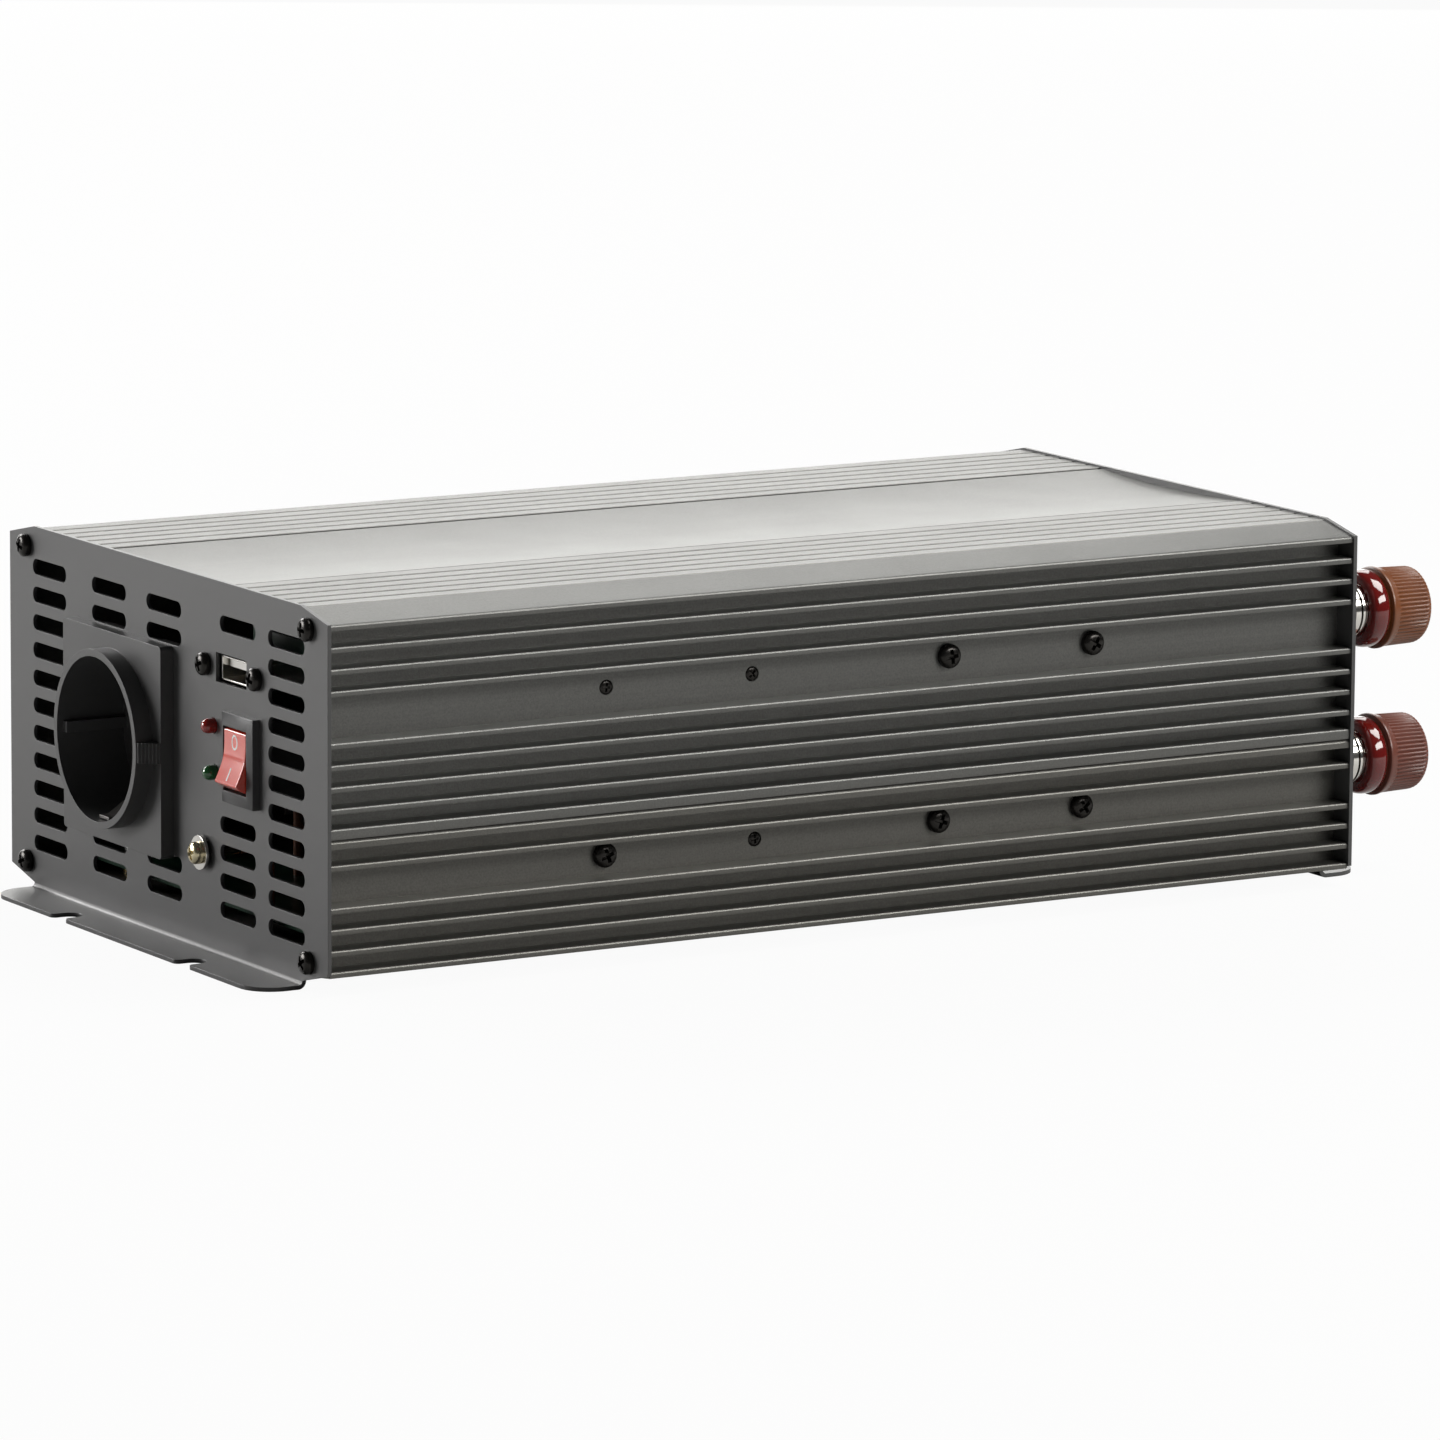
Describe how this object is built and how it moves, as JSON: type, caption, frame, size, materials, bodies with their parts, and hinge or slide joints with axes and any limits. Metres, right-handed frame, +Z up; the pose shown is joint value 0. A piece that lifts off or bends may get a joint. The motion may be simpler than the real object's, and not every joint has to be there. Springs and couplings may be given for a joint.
{
  "type": "power inverter",
  "caption": "Battery-to-mains power inverter in a finned aluminium case with round earthed outlet, USB port, rocker switch, indicator lamps, cooling fan and screw battery posts.",
  "frame": {"origin": "centre of the overall box, at the underside of the mounting flanges", "axes": "+Y from the front panel to the battery posts, +X along the front panel, +Z up"},
  "size_m": [0.16, 0.321, 0.0882],
  "materials": {
    "case_upper": "satin",
    "case_lower": "satin",
    "panel": "satin",
    "black_screw": "satin",
    "zinc_steel": "satin",
    "gilt_steel": "satin",
    "brass": "satin",
    "copper": "satin",
    "nickel": "polished",
    "black_plastic": "matte",
    "chip_plastic": "matte",
    "switch_plastic": "gloss",
    "rocker_red": "gloss",
    "led_red": "gloss",
    "led_green": "gloss",
    "post_upper": "gloss",
    "post_lower": "gloss",
    "circuit_board": "matte",
    "pad": "matte",
    "bar": "satin",
    "wire": "matte",
    "pale_plastic": "matte",
    "ferrite": "matte",
    "winding_tape": "matte",
    "capacitor": "satin",
    "core_yellow": "matte",
    "fuse_orange": "gloss"
  },
  "bodies": {
    "case": {"upper_shell": "case_upper", "lower_shell": "case_lower", "front_panel": "panel", "rear_panel": "panel", "front_screws": "black_screw", "rear_screws": "black_screw", "side_screws_pan": "black_screw", "side_screws_flush": "black_screw", "side_nuts": "zinc_steel", "insulator_pads": "pad", "transistor_bodies": "chip_plastic", "transistor_tabs": "zinc_steel", "heat_bars": "bar", "rectifier_board": "circuit_board", "control_board": "circuit_board", "control_chips": "chip_plastic", "socket_frame": "black_plastic", "socket_clamp": "black_plastic", "socket_contacts": "brass", "earth_clips": "zinc_steel", "ac_leads": "wire", "usb_shell": "nickel", "usb_tongue": "pale_plastic", "usb_contacts": "gilt_steel", "front_board": "circuit_board", "usb_spacers": "zinc_steel", "usb_screws": "black_screw", "led_red": "led_red", "led_green": "led_green", "led_leads": "zinc_steel", "rocker_housing": "switch_plastic", "rocker_tabs": "brass", "ground_screw": "gilt_steel", "ground_washer": "nickel", "ground_nuts": "zinc_steel", "main_board": "circuit_board", "board_standoffs": "brass", "board_screws": "zinc_steel", "transformer_cores": "ferrite", "transformer_windings": "winding_tape", "dc_capacitors": "capacitor", "bus_capacitors": "capacitor", "choke_core": "core_yellow", "choke_winding": "copper", "blade_fuses": "fuse_orange", "buzzer": "chip_plastic", "bus_straps": "copper", "fan_frame": "black_plastic", "fan_screws": "zinc_steel", "fan_guard": "nickel", "terminal_bushes": "black_plastic", "terminal_studs": "brass", "terminal_nuts": "nickel"},
    "rocker": {"rocker": "rocker_red"},
    "fan": {"fan_rotor": "black_plastic"},
    "upper_post_insert": {"upper_insert": "nickel"},
    "upper_post_cap": {"upper_cap": "post_upper"},
    "lower_post_insert": {"lower_insert": "nickel"},
    "lower_post_cap": {"lower_cap": "post_lower"}
  },
  "joints": [
    {"name": "switch_rock", "type": "hinge", "parent": "case", "child": "rocker", "pos_m": [0.0398, -0.1485, 0.0484], "axis": [1, 0, 0], "range_deg": [0, 24]},
    {"name": "fan_spin", "type": "hinge", "parent": "case", "child": "fan", "pos_m": [-0.032, 0.118, 0.047], "axis": [0, 1, 0], "continuous": true},
    {"name": "upper_travel", "type": "slide", "parent": "case", "child": "upper_post_insert", "axis": [0, 1, 0], "range_m": [0, 0.005]},
    {"name": "upper_turn", "type": "hinge", "parent": "upper_post_insert", "child": "upper_post_cap", "pos_m": [0.062, 0.146, 0.0642], "axis": [0, 1, 0], "range_deg": [0, 1440]},
    {"name": "lower_travel", "type": "slide", "parent": "case", "child": "lower_post_insert", "axis": [0, 1, 0], "range_m": [0, 0.005]},
    {"name": "lower_turn", "type": "hinge", "parent": "lower_post_insert", "child": "lower_post_cap", "pos_m": [0.062, 0.146, 0.0281], "axis": [0, 1, 0], "range_deg": [0, 1440]}
  ],
  "couplings": [
    {"joint": "upper_turn", "follows": "upper_travel", "rad_per_m": 5026.5},
    {"joint": "lower_turn", "follows": "lower_travel", "rad_per_m": 5026.5}
  ]
}
